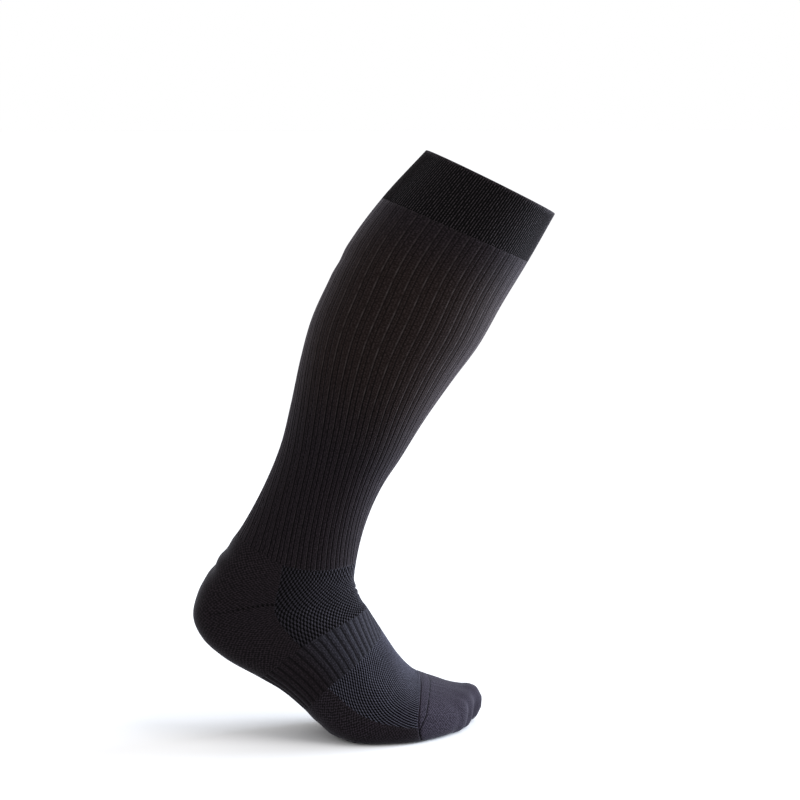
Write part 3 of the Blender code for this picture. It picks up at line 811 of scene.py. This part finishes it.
def arch_finish():
    """The arch's finish: lighter colours on top of the foot, where it runs into the nets, and
    the sole's dark ones underneath, with the change on the two sides."""
    finish = Finish("arch_band_knit", 0.8, 0.04, 0.12, 0.35, (0.88, 0.88, 1.0))
    wale, course = finish.cells()
    share = yarn_share(finish, wale, course, 0.0)
    on_top = finish.mix(share, ARCH_YARN, ARCH_LIT)
    underneath = finish.mix(share, BLACK, BLACK_LIT)
    off_front = abs((wale * (1.0 / WALES) + 0.5).fraction() - 0.5)
    lit = finish.mix(off_front.between(0.20, 0.32), on_top, underneath)
    # Painted shade in the grooves between the ribs.
    shade = finish.hollow().between(0.2, 0.7)
    finish.colour(finish.mix(shade, lit, ARCH_GROOVE_PAINTED_SHADE))
    finish.relief(stitches(wale, course), 0.5, STITCH_HEIGHT)
    return finish


arch_knit = arch_finish()
arch.object.data.materials.append(arch_knit.material)
declare_cloth(arch, ["arch_band"])

# ---------------------------------------------------------------------------
# The forefoot: a finer net over the top of the foot, for air, and the plain cushioned
# sole, whose terry loops are on the inside.

SOLE_SEAM = (0.305, 0.285, 0.292)
FOREFOOT_THICKNESS = 1.6 * MM
SOLE_THICKNESS = 2.2 * MM
FOREFOOT_NET = Net(across=120, along=258, lean=0.057)
FOREFOOT_HOLE = 0.75 * MM

forefoot_around = over_front(SOLE_SEAM, 176, 486)
forefoot_along = rows_between("arch_front", "toe_seam", forefoot_around)
NET_BENDS, NET_CLOSES = 0.500, 0.492  # metres along, where its wales bend and it closes
near_toes = np.clip((forefoot_along - NET_BENDS) / 0.045, 0, 1)
forefoot_phases = net_phases(FOREFOOT_NET, forefoot_around, forefoot_along, -0.022 * near_toes**2)
# Over the toes' roots the net is knitted closed on top of the foot.
closed_up = smooth((forefoot_along - NET_CLOSES) / 0.015) * smooth((0.17 - abs(forefoot_around)) / 0.06)
more_open = smooth((abs(forefoot_around) - 0.15) / 0.10)
forefoot_holes = FOREFOOT_HOLE * (1 - 0.12 * closed_up + 0.35 * more_open)
forefoot_holes = forefoot_holes * net_holes(*forefoot_phases, 0.62)
forefoot = make_cloth(
    "forefoot_mesh_cloth", forefoot_around, forefoot_along, forefoot_holes, forefoot_holes,
    FOREFOOT_THICKNESS, np.stack(forefoot_phases, axis=-1), (5, 6), closed=False,
)
FORE_YARN = (0.0260, 0.0250, 0.0345)
FORE_LIT = (0.0790, 0.0785, 0.1060)
forefoot_knit = net_knit(
    "forefoot_mesh_knit", FORE_YARN, FORE_LIT, FOREFOOT_NET, (0.27, 0.38), FOREFOOT_HOLE
)
forefoot.object.data.materials.append(forefoot_knit.material)
declare_cloth(forefoot, ["forefoot_mesh"])

sole_around = over_back(SOLE_SEAM, 90, 150)
sole_along = rows_between("arch_front", "toe_seam", sole_around)
sole_level = np.zeros(sole_around.shape)
sole = make_cloth(
    "sole_cloth", sole_around, sole_along, sole_level, sole_level,
    SOLE_THICKNESS, counted(sole_around, sole_along), (3, 3), closed=False,
)
SOLE_LIT = (0.0300, 0.0235, 0.0305)
sole_knit = black_knit("sole_knit", BLACK, SOLE_LIT, (0.1, 0.5), plated=0.9)
sole.object.data.materials.append(sole_knit.material)
declare_cloth(sole, ["sole"])

# ---------------------------------------------------------------------------
# The toe cap: a plain pocket in a heathered yarn. It is knitted last and linked shut
# across the toes, and a second line of linking runs over the top of the foot.

TOE_THICKNESS = 1.8 * MM
TOE_CLEFT_DEPTH = 4.5 * MM
TOE_CLEFT_ON_TOP = 0.2
TOE_CLEFT_Y = 9 * MM
TOE_CLEFT_WIDTH = 6 * MM
LINKING_DEPTH = 0.5 * MM

toe_places = np.linspace(0.0, 1.0, 289)
toe_border = border("toe_seam", toe_places)
near_rows = toe_border + (np.arange(0, 20) * 0.45 * MM)[:, None]
far_way = np.linspace(0, 1, 70)[:, None]
far_rows = (1 - far_way) * (toe_border + 9 * MM) + far_way * STATION["toe_end"]
toe_along = np.concatenate([near_rows, far_rows])
toe_around = np.broadcast_to(toe_places, toe_along.shape)
toe_y = read(SKIN, toe_around, toe_along)[..., 1]
toe_turns = np.abs(wrapped(toe_around))  # turns from the front, on either side
toe_reach = np.clip((toe_along - STATION["toe_root"]) / (STATION["toe_tips"] - STATION["toe_root"]), 0, 1)
under = smooth((toe_turns - 0.1) / 0.2)
cleft_share = TOE_CLEFT_ON_TOP + (1 - TOE_CLEFT_ON_TOP) * under
beside_big_toe = np.exp(-(((toe_y - TOE_CLEFT_Y) / TOE_CLEFT_WIDTH) ** 2))
toe_cleft = TOE_CLEFT_DEPTH * cleft_share * toe_reach**2 * beside_big_toe
# The smaller toes show as dips between them, deeper on the sole's side.
TOE_DIPS = ((-7 * MM, 2.2 * MM), (-21 * MM, 1.6 * MM))  # place across the foot, and depth
TOE_DIP_WIDTH = 3.4 * MM
for dip_y, dip_depth in TOE_DIPS:
    between_toes = np.exp(-(((toe_y - dip_y) / TOE_DIP_WIDTH) ** 2))
    toe_cleft = toe_cleft + dip_depth * cleft_share * toe_reach * between_toes


def line_of_linking(distance, reach):
    """A narrow groove along a line, at a distance from it, as far as it reaches."""
    return LINKING_DEPTH * np.exp(-((distance / (0.5 * MM)) ** 2)) * reach


first_line = line_of_linking(toe_along - toe_border - 0.9 * MM, 1.0)
second_place = STATION["toe_seam"] + 6 * MM * (1 - smooth((toe_turns - 0.24) / 0.08))
second_line = line_of_linking(toe_along - second_place, smooth((0.34 - toe_turns) / 0.03))
linking = np.maximum(first_line, second_line)
# The linking draws the knit beyond it into short, uneven puckers on top of the foot.
past_line = np.clip(toe_along - second_place, 0, None) / (5 * MM)
PUCKER_DEPTH = 0.16 * MM
pucker_waves = np.cos(2 * np.pi * 43 * toe_around) + np.cos(2 * np.pi * 27 * toe_around + 1.0)
puckers = PUCKER_DEPTH * (1 + 0.5 * pucker_waves) * past_line * np.exp(1 - past_line) * (1 - under)
toe_cleft = toe_cleft + puckers
toe = make_cloth(
    "toe_cap_cloth", toe_around, toe_along, toe_cleft + linking, linking,
    toe_cleft + TOE_THICKNESS, counted(toe_around, toe_along), (3, 4), tip=True,
)
TOE_YARN = (0.0046, 0.0036, 0.0060)
TOE_LIT = (0.0500, 0.0415, 0.0610)
# Painted shade in the grooves of the lines of linking.
toe_knit = black_knit("toe_cap_knit", TOE_YARN, TOE_LIT, (0.12, 0.4), plated=0.7, sheen=0.07)
toe.object.data.materials.append(toe_knit.material)
declare_cloth(toe, ["toe_cap"])

# ---------------------------------------------------------------------------
# The studio: a pale floor, white surroundings, a soft high lamp and a large key lamp
# at the toe's side, and the camera.

FLOOR_Z = -RIM_CENTRE[2]

floor_mesh = bpy.data.meshes.new("floor")
HALF_FLOOR = 30.0
floor_corners = [(x * HALF_FLOOR, y * HALF_FLOOR, FLOOR_Z) for x, y in ((-1, -1), (1, -1), (1, 1), (-1, 1))]
floor_mesh.from_pydata(floor_corners, [], [(0, 1, 2, 3)])
floor = bpy.data.objects.new("floor", floor_mesh)
bpy.context.scene.collection.objects.link(floor)
floor_paint = bpy.data.materials.new("floor_paint")
floor_paint.use_nodes = True
floor_shader = floor_paint.node_tree.nodes["Principled BSDF"]
floor_shader.inputs["Base Color"].default_value = (0.78, 0.78, 0.79, 1.0)
floor_shader.inputs["Roughness"].default_value = 0.8
floor_shader.inputs["Specular IOR Level"].default_value = 0.0
floor_mesh.materials.append(floor_paint)

world = bpy.data.worlds.new("studio")
world.use_nodes = True
world.node_tree.nodes["Background"].inputs["Color"].default_value = (1.0, 1.0, 1.0, 1.0)
world.node_tree.nodes["Background"].inputs["Strength"].default_value = 1.0
bpy.context.scene.world = world


def lamp(name, kind, place, target, energy, colour, **settings):
    """A lamp at a place in metres that faces a target."""
    data = bpy.data.lights.new(name, kind)
    data.energy = energy
    data.color = colour
    for setting, value in settings.items():
        setattr(data, setting, value)
    obj = bpy.data.objects.new(name, data)
    bpy.context.scene.collection.objects.link(obj)
    obj.location = place
    direction = np.array(target) - np.array(place)
    pitch = np.arccos(-direction[2] / np.linalg.norm(direction))
    obj.rotation_euler = (pitch, 0.0, np.arctan2(direction[1], direction[0]) - np.pi / 2)


WHITE = (1.0, 1.0, 1.0)
lamp("high_lamp", "SUN", (0.6, -0.3, 0.75), (0.0, 0.0, 0.0), 1.5, WHITE, angle=radians(40))
lamp(
    "key_lamp", "AREA", (1.65, 0.35, -0.14), (0.0, 0.0, -0.16), 98.0, (0.78, 0.87, 1.0),
    shape="RECTANGLE", size=0.9, size_y=0.5,
)

camera = bpy.data.cameras.new("camera")
camera.sensor_width = 36.0
camera.lens = 109.67
camera_object = bpy.data.objects.new("camera", camera)
bpy.context.scene.collection.objects.link(camera_object)
camera_object.location = (-0.2769, -1.9393, 0.0712)
camera_object.rotation_euler = (radians(82.8), 0.0, radians(-6.0))
bpy.context.scene.camera = camera_object
bpy.context.scene.view_settings.view_transform = "Standard"
